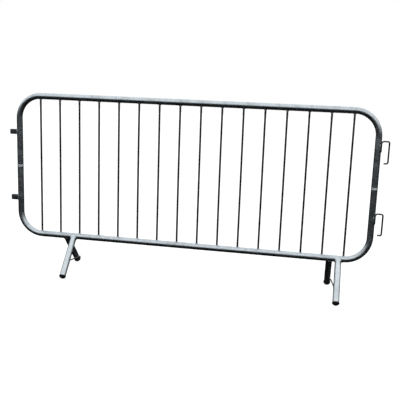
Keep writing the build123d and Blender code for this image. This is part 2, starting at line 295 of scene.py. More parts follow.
def wire_all(tree, made, values):
    """Wire values to a node's inputs, by their names or, for a plain list, in their order."""
    pairs = values.items() if isinstance(values, dict) else enumerate(values)
    for which, value in pairs:
        wire(tree, value, made.inputs[which])
    return made


def fresh_tree(owner):
    """The node tree of a material or a world, emptied."""
    owner.use_nodes = True
    owner.node_tree.nodes.clear()
    return owner.node_tree


def math(tree, operation, values, place, clamp=False):
    """A Math node's result; MULTIPLY_ADD takes three values, and gives first * second + third."""
    made = node(tree, "Math", place, operation=operation, use_clamp=clamp)
    return wire_all(tree, made, values).outputs[0]


def spread(tree, value, low, high, place, to_low=0.0, to_high=1.0, way="SMOOTHSTEP"):
    """A value carried from one range to another, smoothly unless way says LINEAR."""
    made = node(tree, "MapRange", place, interpolation_type=way)
    return wire_all(tree, made, [value, low, high, to_low, to_high]).outputs[0]


def masked(tree, value, low, high, amount, place):
    """A value spread from low to high, times an amount, and kept between 0 and 1."""
    column, row = place
    return math(tree, "MULTIPLY", [spread(tree, value, low, high, place), amount], (column + 1, row),
                clamp=True)


def blend_colour(tree, amount, first, second, place):
    """A mix of two colours."""
    made = node(tree, "Mix", place, data_type="RGBA")
    return wire_all(tree, made, {0: amount, 6: first, 7: second}).outputs[2]


def noise(tree, vector, scale, place, detail=3.0, roughness=0.55, distortion=0.0):
    """A noise texture's value."""
    made = node(tree, "TexNoise", place)
    return wire_all(tree, made, {"Vector": vector, "Scale": scale, "Detail": detail,
                                 "Roughness": roughness, "Distortion": distortion}).outputs["Fac"]


def stretch(tree, vector, scale, place):
    """Coordinates multiplied along each axis, so that a pattern is drawn out where a factor is low."""
    made = node(tree, "Mapping", place)
    return wire_all(tree, made, {"Vector": vector, "Scale": scale}).outputs["Vector"]


def upward(tree, vector, place):
    """The upward part of a vector."""
    return wire_all(tree, node(tree, "SeparateXYZ", place), [vector]).outputs[2]


def add_bump(tree, shader, height, strength, distance, place):
    """A height, counted in units of distance, that tilts a shader's normal."""
    made = node(tree, "Bump", place)
    wire_all(tree, made, {"Strength": strength, "Distance": distance, "Height": height})
    wire(tree, made.outputs[0], shader.inputs["Normal"])


SOCKETS = {"vector": "NodeSocketVector", "value": "NodeSocketFloat"}


def new_group(name, inputs, outputs):
    """A shader node group: inputs is a list of (name, kind, default) and outputs of names."""
    tree = bpy.data.node_groups.new(name, "ShaderNodeTree")
    for label, kind, default in inputs:
        socket = tree.interface.new_socket(name=label, in_out="INPUT", socket_type=SOCKETS[kind])
        if default is not None:
            socket.default_value = default
    for label in outputs:
        tree.interface.new_socket(name=label, in_out="OUTPUT", socket_type=SOCKETS["value"])
    entry = tree.nodes.new("NodeGroupInput")
    entry.location = (-400, 0)
    leave = tree.nodes.new("NodeGroupOutput")
    leave.location = (1900, 0)
    return tree, entry.outputs, leave.inputs


# %% Spangle: the zinc's crystals
def build_spangle():
    """Crystals of zinc: each Voronoi cell has its own brightness, with fine needles inside it."""
    tree, given, result = new_group(
        "zinc_spangle", [("Vector", "vector", None), ("Crystals per metre", "value", 110.0)],
        ["Shade", "Height"])
    wander = noise(tree, given["Vector"], 160.0, (0, 1), detail=2.0, roughness=0.5).node
    shift = node(tree, "VectorMath", (1, 1), operation="MULTIPLY_ADD")
    wire_all(tree, shift, [wander.outputs["Color"], (0.004, 0.004, 0.004), given["Vector"]])
    cells = node(tree, "TexVoronoi", (2, 0), feature="F1")
    rims = node(tree, "TexVoronoi", (2, 2), feature="DISTANCE_TO_EDGE")
    for texture in (cells, rims):
        wire_all(tree, texture, {"Vector": shift.outputs[0], "Scale": given["Crystals per metre"]})
    split = wire_all(tree, node(tree, "SeparateColor", (3, 0)), [cells.outputs["Color"]])
    needles = noise(tree, given["Vector"], 900.0, (3, 1), detail=2.0)
    shade = math(tree, "MULTIPLY_ADD", [needles, 0.35, split.outputs[0]], (4, 0))
    wire(tree, math(tree, "MULTIPLY", [shade, 0.8], (5, 0), clamp=True), result["Shade"])
    edge = spread(tree, rims.outputs["Distance"], 0.0, 0.06, (4, 2), to_low=1.0, to_high=0.0)
    wire(tree, math(tree, "MULTIPLY_ADD", [edge, -0.3, shade], (5, 2)), result["Height"])
    return tree


# %% Runs: zinc that flowed before it set
def build_runs():
    """Zinc that ran: noise drawn out along the piece for streaks, and round bumps and pits."""
    tree, given, result = new_group(
        "zinc_runs", [("Vector", "vector", None), ("Streaks", "value", 1.0), ("Pits", "value", 1.0)],
        ["Streak", "Pit", "Height"])
    drawn = stretch(tree, given["Vector"], (1.0, 1.0, 0.12), (0, 0))
    long_noise = noise(tree, drawn, 130.0, (1, 0), distortion=0.4)
    streak = masked(tree, long_noise, 0.52, 0.74, given["Streaks"], (2, 0))
    wire(tree, streak, result["Streak"])
    round_noise = noise(tree, given["Vector"], 210.0, (1, 2), detail=2.0)
    pit = masked(tree, round_noise, 0.40, 0.26, given["Pits"], (2, 2))
    wire(tree, pit, result["Pit"])
    soft = noise(tree, given["Vector"], 60.0, (1, 3), detail=2.0)
    raised = math(tree, "MULTIPLY_ADD", [streak, 0.6, soft], (4, 0))
    wire(tree, math(tree, "SUBTRACT", [raised, pit], (5, 1)), result["Height"])
    return tree


# %% Weather: dull patches, white bloom and dirt near the ground
def build_weather():
    """What years outdoors add: grey patches, white bloom, and mud splashed up from the ground."""
    tree, given, result = new_group(
        "weather", [("Vector", "vector", None), ("Patches", "value", 1.0), ("Mud", "value", 1.0)],
        ["Patch", "Bloom", "Mud"])
    wide = noise(tree, given["Vector"], 14.0, (0, 0), detail=4.0, distortion=0.6)
    wire(tree, masked(tree, wide, 0.46, 0.66, given["Patches"], (1, 0)), result["Patch"])
    speckle = noise(tree, given["Vector"], 340.0, (0, 1), roughness=0.7)
    where = spread(tree, noise(tree, given["Vector"], 22.0, (0, 2), detail=2.0), 0.5, 0.7, (1, 2))
    wire(tree, masked(tree, speckle, 0.55, 0.75, where, (1, 1)), result["Bloom"])
    low_down = spread(tree, upward(tree, given["Vector"], (0, 4)), 0.26, 0.01, (1, 4))
    splash = noise(tree, given["Vector"], 75.0, (0, 5), detail=5.0, roughness=0.65)
    wet = math(tree, "MULTIPLY_ADD", [low_down, 0.35, splash], (1, 5))
    spots = math(tree, "MULTIPLY", [spread(tree, wet, 0.62, 0.85, (2, 5)), low_down], (3, 4))
    wire(tree, math(tree, "MULTIPLY", [spots, given["Mud"]], (4, 4), clamp=True), result["Mud"])
    return tree


# %% Rubs: where barriers scrape along each other
def build_rubs():
    """Fine scratches: thin lines where drawn-out noise crosses its middle value, in a few places."""
    tree, given, result = new_group(
        "rub_marks", [("Vector", "vector", None), ("Amount", "value", 1.0)], ["Scratch"])
    marks = []
    for row, scale in enumerate(((1.0, 1.0, 0.06), (1.0, 0.25, 0.5))):
        value = noise(tree, stretch(tree, given["Vector"], scale, (0, row)), 420.0, (1, row), detail=1.0)
        away = math(tree, "ABSOLUTE", [math(tree, "SUBTRACT", [value, 0.5], (2, row))], (3, row))
        marks.append(spread(tree, away, 0.0, 0.012, (4, row), to_low=1.0, to_high=0.0))
    where = spread(tree, noise(tree, given["Vector"], 26.0, (1, 3)), 0.52, 0.68, (2, 3))
    kept = math(tree, "MULTIPLY", [math(tree, "MAXIMUM", marks, (5, 0)), where], (6, 0))
    wire(tree, math(tree, "MULTIPLY", [kept, given["Amount"]], (7, 0), clamp=True), result["Scratch"])
    return tree


spangle_group, runs_group = build_spangle(), build_runs()
weather_group, rubs_group = build_weather(), build_rubs()
print("node groups", [group.name for group in bpy.data.node_groups])


# %% [markdown]
# ## Steel materials
# One recipe serves every galvanised piece, because they all came out of the same bath. What
# differs is the stock under the zinc: tube is smooth, so its crystals are wide; rod and flat bar
# are rough and thick, so they cool slowly and turn duller; weld metal carries almost no crystals.
# The greys also carry painted light: the bars, rods and flat bar get a near-black grey, painted
# shade for the dark ground they mirror; the legs a lighter grey, painted light for the sky they
# face; the weld beads a pale grey, painted highlight for their glints. The shader itself stays in each
# material.

# %% Galvanised steel
WHITE_BLOOM, BARE_SCRATCH, MUD_BROWN = (0.74, 0.76, 0.77), (0.80, 0.81, 0.83), (0.13, 0.11, 0.09)


def place_group(tree, group, place, **values):
    """The outputs of a node group placed in a material with its own values."""
    made = node(tree, "Group", place, node_tree=group)
    return wire_all(tree, made, {label.replace("_", " "): value for label, value in values.items()}).outputs


def new_material(name):
    """An empty material with a Principled shader; returns the material, its tree and the shader."""
    material = bpy.data.materials.new(name)
    tree = fresh_tree(material)
    shader = node(tree, "BsdfPrincipled", (12, 0))
    wire_all(tree, node(tree, "OutputMaterial", (14, 0)), [shader.outputs[0]])
    return material, tree, shader


def galvanised(name, dark, light, crystals, gloss, patches=1.0, streaks=1.0, pits=1.0, mud=1.0,
               scratches=1.0, relief=1.0, followed=True):
    """Hot-dip zinc between a dark and a light grey; gloss is the roughness of its brightest crystal."""
    material, tree, shader = new_material(name)
    place = path = node(tree, "TexCoord", (-2, 3)).outputs["Object"]
    if followed:
        path = node(tree, "Attribute", (-2, 0), attribute_name="pattern").outputs["Vector"]
    spangle = place_group(tree, spangle_group, (0, 0), Vector=path, Crystals_per_metre=crystals)
    runs = place_group(tree, runs_group, (0, 1), Vector=path, Streaks=streaks, Pits=pits)
    weather = place_group(tree, weather_group, (0, 2), Vector=place, Patches=patches, Mud=mud)
    rubs = place_group(tree, rubs_group, (0, 3), Vector=path, Amount=scratches)

    # each layer of colour has a mask, the share of it that shows, and its own tint
    dull = tuple(0.82 * part for part in dark)
    bright = tuple(min(1.0, 1.12 * part) for part in light)
    layers = [(weather["Patch"], 0.55, dull), (runs["Streak"], 0.5, bright), (runs["Pit"], 0.6, dull),
              (weather["Bloom"], 0.5, WHITE_BLOOM), (rubs["Scratch"], 0.5, BARE_SCRATCH),
              (weather["Mud"], 0.7, MUD_BROWN)]
    colour = blend_colour(tree, spangle["Shade"], (*dark, 1), (*light, 1), (2, 0))
    for column, (mask, share, tint) in enumerate(layers, 3):
        shown = math(tree, "MULTIPLY", [mask, share], (column - 1, 1))
        colour = blend_colour(tree, shown, colour, (*tint, 1), (column, 0))
    wire(tree, colour, shader.inputs["Base Color"])

    rough = math(tree, "MULTIPLY_ADD", [spangle["Shade"], -0.10, gloss + 0.10], (4, 3))
    for column, (mask, more) in enumerate([("Patch", 0.12), ("Bloom", 0.25), ("Mud", 0.35)], 5):
        rough = math(tree, "MULTIPLY_ADD", [weather[mask], more, rough], (column, 3), clamp=True)
    wire(tree, rough, shader.inputs["Roughness"])

    cover = math(tree, "MAXIMUM", [weather["Mud"], weather["Bloom"]], (7, 5))
    metal = math(tree, "MULTIPLY_ADD", [cover, -0.7, 1.0], (8, 5), clamp=True)
    wire(tree, metal, shader.inputs["Metallic"])

    height = math(tree, "MULTIPLY_ADD", [spangle["Height"], 0.12, runs["Height"]], (8, 3))
    height = math(tree, "MULTIPLY_ADD", [rubs["Scratch"], -0.2, height], (9, 3))
    add_bump(tree, shader, height, 1.0, 0.4 * MM * relief, (10, 3))
    return material


tube_zinc = galvanised("frame_tube_zinc", (0.47, 0.505, 0.525), (0.61, 0.65, 0.685), 95.0, 0.20, mud=0.15,
                       pits=0.6, relief=0.45)
# painted shade: the bars' near-black grey stands in for the dark ground that upright tubes mirror; they are
# the same tube as the frame
bar_painted_shade_zinc = galvanised("bar_painted_shade_zinc", (0.13, 0.135, 0.145), (0.21, 0.22, 0.235), 160.0, 0.20, mud=0.1,
                      patches=0.6, relief=0.6)
# painted light: the legs' grey is lighter than the same tube in the frame, for the sky that their upper
# sides face
leg_painted_light_zinc = galvanised("leg_painted_light_zinc", (0.55, 0.585, 0.605), (0.68, 0.72, 0.75), 80.0, 0.17, streaks=0.5,
                      pits=0.3, mud=0.10, patches=0.4, relief=0.4)
# painted shade: the rods' and flat bar's near-black greys stand in for the dark ground they mirror, on top
# of their duller zinc
rod_painted_shade_zinc = galvanised("rod_painted_shade_zinc", (0.09, 0.095, 0.10), (0.17, 0.18, 0.19), 200.0, 0.22, patches=0.5)
strap_painted_shade_zinc = galvanised("strap_painted_shade_zinc", (0.13, 0.137, 0.145), (0.22, 0.23, 0.245), 150.0, 0.26, patches=0.6)
# painted highlight: the beads' pale grey, lighter than the tube, stands in for the glints on the welds
bead_painted_highlight_zinc = galvanised("bead_painted_highlight_zinc", (0.60, 0.63, 0.66), (0.80, 0.82, 0.85), 320.0, 0.24, patches=0.3,
                       streaks=0.3, scratches=0.0, mud=0.4)
sleeve_zinc = galvanised("sleeve_zinc", (0.45, 0.47, 0.50), (0.60, 0.62, 0.66), 120.0, 0.36,
                         mud=0.0, followed=False)
print("steel finishes", [m.name for m in bpy.data.materials if m.name.endswith("zinc")])


# %% [markdown]
# ## Rubber
# The foot caps are moulded black rubber. Rubber is never quite black: it scatters a little light at
# grazing angles, its skin has a fine grain from the mould, and it picks up pale dust where it
# rubs on the ground.

# %% Cap rubber
def cap_rubber():
    """Black moulded rubber with a fine grain, worn grey and dusty towards the ground."""
    material, tree, shader = new_material("cap_rubber")
    place = node(tree, "TexCoord", (-2, 2)).outputs["Object"]
    grain = noise(tree, place, 1400.0, (0, 0), detail=2.0)
    blotch = noise(tree, place, 120.0, (0, 1), detail=4.0)
    low_down = spread(tree, upward(tree, place, (0, 2)), 0.014, 0.0, (1, 2))
    dust = math(tree, "MULTIPLY", [low_down, spread(tree, blotch, 0.4, 0.7, (1, 1), to_low=0.2)], (2, 1))
    colour = blend_colour(tree, blotch, (0.006, 0.006, 0.007, 1), (0.016, 0.016, 0.017, 1), (2, 0))
    colour = blend_colour(tree, math(tree, "MULTIPLY", [dust, 0.15], (3, 1)), colour,
                          (0.10, 0.095, 0.085, 1), (4, 0))
    rough = spread(tree, grain, 0.3, 0.7, (2, 3), to_low=0.55, to_high=0.75)
    wire_all(tree, shader, {"Base Color": colour, "Roughness": rough, "Specular IOR Level": 0.25})
    add_bump(tree, shader, grain, 0.6, 0.2 * MM, (8, 3))
    return material


rubber = cap_rubber()
print("rubber finish", rubber.name)


# %% [markdown]
# ## Frame tubes
# Each half of the frame is one length of tube, bent cold at two corners. In a bend the tube goes
# slightly flat, its inner side gathers in faint wrinkles, and the zinc over it is uneven. A swept
# circle would miss all that, so the radius here is a function of the place on the tube. The grid
# goes along the outside, over the end and back along the bore, so the wall has its real thickness.

# %% Tube walls
tube_unevenness = 0.30 * MM
wrinkle_pitch, wrinkle_depth = 7 * MM, 0.06 * MM
bend_squash, bend_bulge = 0.03, 0.012


def wall_shell(outer, outer_pattern, inner):
    """A closed wall: the outside's rows one way, the bore's rows back, and the first row again."""
    points = np.concatenate([outer, inner[::-1]])
    pattern = np.concatenate([outer_pattern, inner[::-1]])
    return shell(points, pattern, ring=True)


def frame_half(rail_z, direction, seed):
    """One bent half: upright, corner, rail, corner, upright, from the left seam to the right.

    The radius is the tube's, less a smooth unevenness and less a cosine along the tube, the
    wrinkles, on the inner side of a bend. A bend is also squashed towards its centre and bulges
    a little sideways.
    """
    upright = abs(rail_z - seam_z) - seam_gap / 2 - bend_radius
    corner, rail = bend_radius * pi / 2, 2 * (upright_x - bend_radius)
    turn = -direction * pi / 2
    runs = [(upright, 0), (corner, turn), (rail, 0), (corner, turn), (upright, 0)]
    flat, heading, travelled = bent_path((-upright_x, seam_z + direction * seam_gap / 2),
                                         direction * pi / 2, runs, bend_step=radians(1))
    centres, left, ups, _ = stand_up(flat, heading)
    # outwards is the side away from the bend's centre
    sides = direction * left

    ends = np.cumsum([length for length, _ in runs])
    bend = sum(np.clip(1 - np.abs(travelled - middle) / (corner / 2 + 10 * MM), 0, 1)
               for middle in (ends[0] + corner / 2, ends[2] + corner / 2))
    bend = np.minimum(1, 4 * bend)[:, None]
    angle = round_angles(48)[None, :]
    circle = round_skin(centres, sides, ups, tube_radius, angle)
    thickness = 0.5 + 0.25 * lumps(circle, 90 * MM, seed) + 0.25 * lumps(circle, 28 * MM, seed + 1)
    inside = np.clip(-np.cos(angle), 0, 1) ** 2
    wrinkle = np.cos(2 * pi * travelled / wrinkle_pitch)[:, None] * inside * bend
    radius = tube_radius - tube_unevenness * (1 - thickness) - wrinkle_depth * (1 + wrinkle)
    squash = 1 - bend_squash * bend
    reach = radius * np.cos(angle) * squash
    lift = radius * np.sin(angle) * (1 + bend_bulge * bend)
    outer = carry(centres, sides, ups, reach, lift)
    bore = tube_radius - tube_wall
    inner = carry(centres, sides, ups, bore * np.cos(angle) * squash, bore * np.sin(angle))
    return wall_shell(outer, follow(reach, lift, travelled, seed), inner)


def half_nodes(level):
    """The CAD nodes of a half's corners and uprights."""
    return [f"{end}_{level}_{part}" for end in ENDS for part in ("corner", "upright")]


upper_shell = frame_half(top_rail_z, 1, 1)
lower_shell = frame_half(bottom_rail_z, -1, 5)
make_piece("upper_tube", [upper_shell], tube_zinc, "galvanised_frame_tube", "top_rail",
           *half_nodes("upper"))


# %% [markdown]
# Where a rail drains, the last zinc hangs on as small drops. They are round teardrops: a profile
# turned about a plumb line, with its top sunk in the tube. They are part of the lower tube.

# %% Zinc drops
def zinc_drop(x, y, z, radius, length):
    """A hanging drop: its radius narrows from the top as the square root, and closes round below."""
    fall = np.linspace(0, 1, 12)
    profile = radius * np.sqrt(np.clip(1 - fall, 0, 1)) * (0.55 + 0.45 * np.cos(2.4 * fall)) + 0.05 * MM
    angle = round_angles(14)
    points = np.stack([x + profile[:, None] * np.cos(angle), y + profile[:, None] * np.sin(angle),
                       z - (length * fall)[:, None] + 0 * angle], -1)
    return shell(points)


rng = np.random.default_rng(11)
drop_top = bottom_rail_z - tube_radius + 0.9 * MM
drops = []
for x in (*bar_places[1::3], -upright_x + bend_radius, upright_x - bend_radius):
    drops.append(zinc_drop(x + rng.uniform(-12, 12) * MM, rng.uniform(-2, 2) * MM, drop_top,
                           rng.uniform(1.6, 2.6) * MM, rng.uniform(3.0, 6.0) * MM))
make_piece("lower_tube", [lower_shell] + drops, tube_zinc, "galvanised_frame_tube", "bottom_rail",
           *half_nodes("lower"))


# %% [markdown]
# ## Infill bars
# Sixteen thin tubes stand between the rails, their ends pushed into punched holes. They are not
# quite straight, because welding pulls them: each bows by a fraction of a millimetre its own way.

# %% Bars
bar_bow, bar_unevenness = 0.7 * MM, 0.14 * MM


def bar_shell(number, x):
    """A thin upright tube with a slight bow: its axis leaves the plumb line as a half sine wave."""
    height = np.linspace(bar_low_z, bar_high_z, 84)
    bow = bar_bow * np.sin(pi * (height - bar_low_z) / (bar_high_z - bar_low_z))
    way = np.random.default_rng(100 + number).uniform(0, 2 * pi)
    centres = np.stack([x + bow * cos(way), bow * sin(way), height], -1)
    sides, ups = np.tile([1.0, 0, 0], (84, 1)), np.tile([0, 1.0, 0], (84, 1))
    angle = round_angles(24)[None, :]
    circle = round_skin(centres, sides, ups, bar_radius, angle)
    radius = worn_radius(bar_radius, bar_unevenness, circle, 26 * MM, 200 + number)
    reach, lift = radius * np.cos(angle), radius * np.sin(angle)
    outer = carry(centres, sides, ups, reach, lift)
    inner = round_skin(centres[[0, -1]], sides[:2], ups[:2], bar_radius - bar_wall, angle)
    return wall_shell(outer, follow(reach, lift, height, 1.3 * number), inner)


for number, (name, x) in enumerate(zip(bar_names, bar_places)):
    make_piece(name.replace("infill_bar", "bar"), [bar_shell(number, x)], bar_painted_shade_zinc,
               "galvanised_infill_tube", name)


# %% [markdown]
# ## Weld beads
# A weld bead is a row of frozen puddles. Seen from above, each ripple is a crescent, because the
# puddle's trailing edge is round. One function makes every bead on the barrier: it is given two
# toes, where the bead meets the two metals, and carries a rounded, rippled skin from one to the
# other. The root is tucked into the metal, out of sight.

# %% Rippled bead
def bead(toe_a, toe_b, root, outwards, crown, seed, closed, pitch=2.4 * MM):
    """A bead's shell from arrays of points along its two toes and its root.

    Across the bead, t runs from 0 at one toe to 1 at the other. A skin point is the mix of the
    toes at t, moved outwards by crown * 4 t (1 - t) times a slow unevenness, plus a ripple whose
    wave is drawn back towards the toes, so that it bends like a crescent.
    """
    middle = (toe_a + toe_b) / 2
    after = np.roll(middle, -1, 0) if closed else np.vstack([middle[1:], middle[-1:]])
    steps = np.linalg.norm(after - middle, axis=1)
    travelled = np.concatenate([[0], np.cumsum(steps)[:-1]])
    total = steps.sum()
    waves = max(3, round(total / pitch))
    t = np.linspace(0, 1, 9)[None, :]
    arch = 4 * t * (1 - t)
    phase = 2 * pi * (waves * (travelled / total)[:, None] - 0.30 * (2 * t - 1) ** 2)
    slow = 1 + 0.22 * lumps(middle, 9 * MM, seed)[:, None]
    ripple = 0.16 * (0.5 + 0.5 * np.cos(phase)) ** 0.7
    height = crown * arch ** 0.8 * (slow * 0.9 + ripple)
    skin = toe_a[:, None] * (1 - t[..., None]) + toe_b[:, None] * t[..., None]
    skin = skin + height[..., None] * outwards[:, None]
    points = np.concatenate([skin, root[:, None]], axis=1)
    if not closed:
        share = travelled / total
        narrow = np.clip(np.sqrt(1 - (2 * share - 1) ** 6), 0.12, 1)[:, None, None]
        points = root[:, None] + (points - root[:, None]) * narrow
    return shell(points, ring=closed)


def unit(vectors):
    """Vectors at length one."""
    return vectors / np.linalg.norm(vectors, axis=-1, keepdims=True)


# %% Beads round the bars
bar_bead_width, bar_bead_crown = 3.0 * MM, 1.15 * MM


def bar_bead(x, rail_z, direction, seed):
    """The ring where a bar enters a rail.

    Round the bar, a point at distance d from its axis lies on the rail where its height over the
    rail's middle is the root of (tube radius squared - (d sin a) squared). One toe follows that at
    the bead's width, the other climbs the bar.
    """
    angle = round_angles(60)
    way = np.stack([np.cos(angle), np.sin(angle), 0 * angle], -1)
    width = bar_bead_width * (1 + 0.18 * lumps(way, 2.0, seed))

    def on_rail(distance, rise):
        height = np.sqrt(tube_radius ** 2 - (distance * np.sin(angle)) ** 2) + rise
        return np.stack([x + distance * np.cos(angle), distance * np.sin(angle),
                         rail_z + direction * height], -1)

    toe_rail = on_rail(bar_radius + width, -0.15 * MM)
    toe_bar = on_rail(bar_radius - 0.05 * MM, 0.9 * width)
    root = on_rail(bar_radius - 0.4 * MM, -0.9 * MM)
    outwards = unit((toe_rail + toe_bar) / 2 - root)
    return bead(toe_rail, toe_bar, root, outwards, bar_bead_crown, seed, closed=True)


top_beads = [bar_bead(x, top_rail_z, -1, 300 + i) for i, x in enumerate(bar_places)]
bottom_beads = [bar_bead(x, bottom_rail_z, 1, 340 + i) for i, x in enumerate(bar_places)]
make_piece("top_bar_beads", top_beads, bead_painted_highlight_zinc, "galvanised_weld", "top_bar_welds")
make_piece("bottom_bar_beads", bottom_beads, bead_painted_highlight_zinc, "galvanised_weld", "bottom_bar_welds")


# %% Beads over the seams, and the plug welds
def seam_bead(side, seed):
    """The ring over the butt joint in an upright: its toes lie either side of the seam."""
    angle = round_angles(96)
    out = np.stack([np.cos(angle), np.sin(angle), 0 * angle], -1)
    centre = np.array([side * upright_x, 0, seam_z])
    half = seam_width / 2 * (1 + 0.12 * lumps(out, 0.9, seed))[:, None] * np.array([0, 0, 1.0])
    ring = centre + (tube_radius - 0.25 * MM) * out
    return bead(ring + half, ring - half, ring - 1.0 * MM * out, out, 1.0 * MM, seed, closed=True)


for end, side in zip(ENDS, (-1, 1)):
    make_piece(f"{end}_seam_bead", [seam_bead(side, 380 + side)], bead_painted_highlight_zinc, "galvanised_weld",
               f"{end}_seam_weld")


def plug_bead(side, z, radius):
    """A plug weld: a low dome whose ripples run round it in a spiral, lying on the round tube."""
    share = np.linspace(0, 1, 12)[:, None]
    angle = round_angles(40)[None, :]
    distance = radius * np.maximum(share, 0.02)
    y, rise = distance * np.cos(angle), distance * np.sin(angle)
    ripple = 0.5 + 0.5 * np.cos(2 * pi * 2.5 * share + angle)
    dome = 0.85 * MM * (1 - share ** 2.5) * (0.85 + 0.15 * ripple) - 0.15 * MM * share
    out = np.sqrt(tube_radius ** 2 - y ** 2) + dome
    points = np.stack([side * (upright_x - out), y, z + rise], -1)
    foot = np.stack([side * (upright_x - out[-1] + 1.2 * MM), y[-1], z + rise[-1]], -1)
    return shell(np.concatenate([points, foot[None]]))


plug_low, plug_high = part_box("plug_welds")
plugs = [plug_bead(side, (plug_low.z + plug_high.z) / 2, (plug_high.z - plug_low.z) / 2 + 0.4 * MM)
         for side in (-1, 1)]
make_piece("plug_beads", plugs, bead_painted_highlight_zinc, "galvanised_weld", "plug_welds")


# %% [markdown]
# ## Legs
# A leg is a straight length of the same tube, its top cut to fit round the rail. That cut is the
# line where two round tubes meet: a point on the leg at angle a touches the rail where its distance
# along the leg is the tube radius times the cosine of a. Stretching the rows of the grid from that
# line to the leg's end gives the saddle cut without any boolean.

# %% Leg frames
def leg_axes(leg):
    """The leg's top, and three directions: along the rail, to its upper side, and down the leg."""
    top = np.array([leg.x, 0, bottom_rail_z])
    down = np.array([0, leg.side * sin(leg_lean), -cos(leg_lean)])
    along = np.array([1.0, 0, 0])
    upper = np.array([0, leg.side * cos(leg_lean), sin(leg_lean)])
    return top, along, upper, down


def on_leg(leg, angle, radius, distance):
    """Points at an angle round the leg, a radius from its axis and a distance down from the rail."""
    top, along, upper, down = leg_axes(leg)
    return (top + (radius * np.cos(angle))[..., None] * along
            + (radius * np.sin(angle))[..., None] * upper + distance[..., None] * down)


def leg_shell(leg, seed):
    """The leg's wall, from its saddle cut to its square end on the foot cap."""
    angle = round_angles(48)[None, :]
    start = np.sqrt(np.clip(tube_radius ** 2 - (leg_radius * np.sin(angle)) ** 2, 0, None)) + 0.1 * MM
    share = np.linspace(0, 1, 44)[:, None]
    distance = start + share * (leg_end - start)
    circle = on_leg(leg, angle + 0 * share, leg_radius + 0 * distance, distance)
    radius = worn_radius(leg_radius, 0.16 * MM, circle, 60 * MM, seed)
    outer = on_leg(leg, angle + 0 * share, radius, distance)
    pattern = np.stack([radius * np.cos(angle), radius * np.sin(angle), distance + seed], -1)
    ends = distance[[0, -1]]
    inner = on_leg(leg, angle + 0 * ends, leg_radius - tube_wall + 0 * ends, ends)
    return wall_shell(outer, pattern, inner)


for number, leg in enumerate(legs):
    make_piece(f"{leg.name}_leg_tube", [leg_shell(leg, 400 + number)], leg_painted_light_zinc, "galvanised_leg_tube",
               f"{leg.name}_leg")


# %% Beads round the legs
leg_bead_width, leg_bead_rounding = 4.2 * MM, 6.5 * MM


def leg_bead(leg, seed):
    """The bead along the saddle, where the leg meets the rail.

    The joint's line is rounded off where the two tubes only touch, by adding a small square under
    the root. One toe lies a bead's width from it on the rail, the other down the leg. Both are
    pushed back onto their tube.
    """
    angle = round_angles(150)
    top, _, _, down = leg_axes(leg)
    rounded = np.sqrt((tube_radius * np.cos(angle)) ** 2 + leg_bead_rounding ** 2)
    line = on_leg(leg, angle, leg_radius + 0 * angle, rounded)
    track = unit(np.roll(line, -1, 0) - np.roll(line, 1, 0))
    on_rail = line - [leg.x, 0, bottom_rail_z]
    rail_out = unit(on_rail * [0, 1, 1])
    leg_out = unit(line - (top + rounded[:, None] * down))
    width = leg_bead_width * (1 + 0.15 * lumps(line, 16 * MM, seed))[:, None]
    # the line runs one way round, so one sign per tube turns its toe away from the other tube
    away, toward = unit(np.cross(track, rail_out)), unit(np.cross(track, leg_out))
    away *= np.sign(np.sum(away * leg_out))
    toward *= np.sign(np.sum(toward * rail_out))
    toe_rail = line + width * away
    offset = (toe_rail - top) * [0, 1, 1]
    toe_rail = toe_rail * [1, 0, 0] + top * [0, 1, 1] + unit(offset) * (tube_radius - 0.2 * MM)
    toe_leg = line + width * toward
    depth = np.sum((toe_leg - top) * down, -1, keepdims=True)
    toe_leg = top + depth * down + unit(toe_leg - top - depth * down) * (leg_radius - 0.35 * MM)
    outwards = unit(rail_out + leg_out)
    return bead(toe_rail, toe_leg, line - 1.3 * MM * outwards, outwards, 0.9 * MM, seed, closed=True,
                pitch=2.8 * MM)


make_piece("leg_beads", [leg_bead(leg, 450 + i) for i, leg in enumerate(legs)], bead_painted_highlight_zinc,
           "galvanised_weld", "leg_welds")


# %% [markdown]
# ## Foot caps
# Each leg ends in a black rubber cap with a low dome. It is round, so a turned profile fits: up the
# stem in the tube's bore, out under the tube's end, round the rim and over the dome, which is part
# of a large ball. The ground then flattens it: every point that would go below the floor is put on
# it.

# %% Foot caps
cap_stem, stem_clearance, stem_edge = 22 * MM, 0.2 * MM, 1.5 * MM
rim_edge, groove_depth, sole_wear = 0.8 * MM, 0.25 * MM, 0.25 * MM


def cap_shell(leg):
    """A turned cap: rows follow its profile, columns go round, and the sole is pressed flat."""
    stem_radius = leg_radius - tube_wall - stem_clearance
    stem_end, dome_start = leg_end - cap_stem, leg_end + cap_rim
    profile = [(0.4 * MM, stem_end), (stem_radius - stem_edge, stem_end)]
    profile += [(stem_radius, stem_end + stem_edge), (stem_radius, leg_end - 0.1 * MM)]
    profile += [(cap_radius - rim_edge + rim_edge * sin(turn), leg_end + rim_edge - rim_edge * cos(turn))
                for turn in np.linspace(0, pi / 2, 5)]
    # a shallow groove where the mould's two halves met runs round the rim
    profile += [(cap_radius, dome_start - 0.9 * MM), (cap_radius - groove_depth, dome_start - 0.5 * MM)]
    opening = np.arcsin(cap_radius / dome_radius)
    profile += [(dome_radius * sin(turn), dome_centre + dome_radius * cos(turn))
                for turn in np.linspace(opening, 0.02, 34)]
    rows = np.array(profile)
    angle = round_angles(72)[None, :]
    points = on_leg(leg, angle + 0 * rows[:, :1], rows[:, :1] + 0 * angle, rows[:, 1:] + 0 * angle)
    near_ground = np.clip(1 - points[..., 2] / (6 * MM), 0, 1)
    worn = sole_wear * (0.5 + 0.5 * lumps(points, 9 * MM, 470)) * near_ground
    points[..., 2] = np.where(points[..., 2] < 0, 0, points[..., 2] + worn)
    return shell(points)


for leg in legs:
    make_piece(f"{leg.name}_foot", [cap_shell(leg)], rubber, "black_rubber", f"{leg.name}_foot_cap")


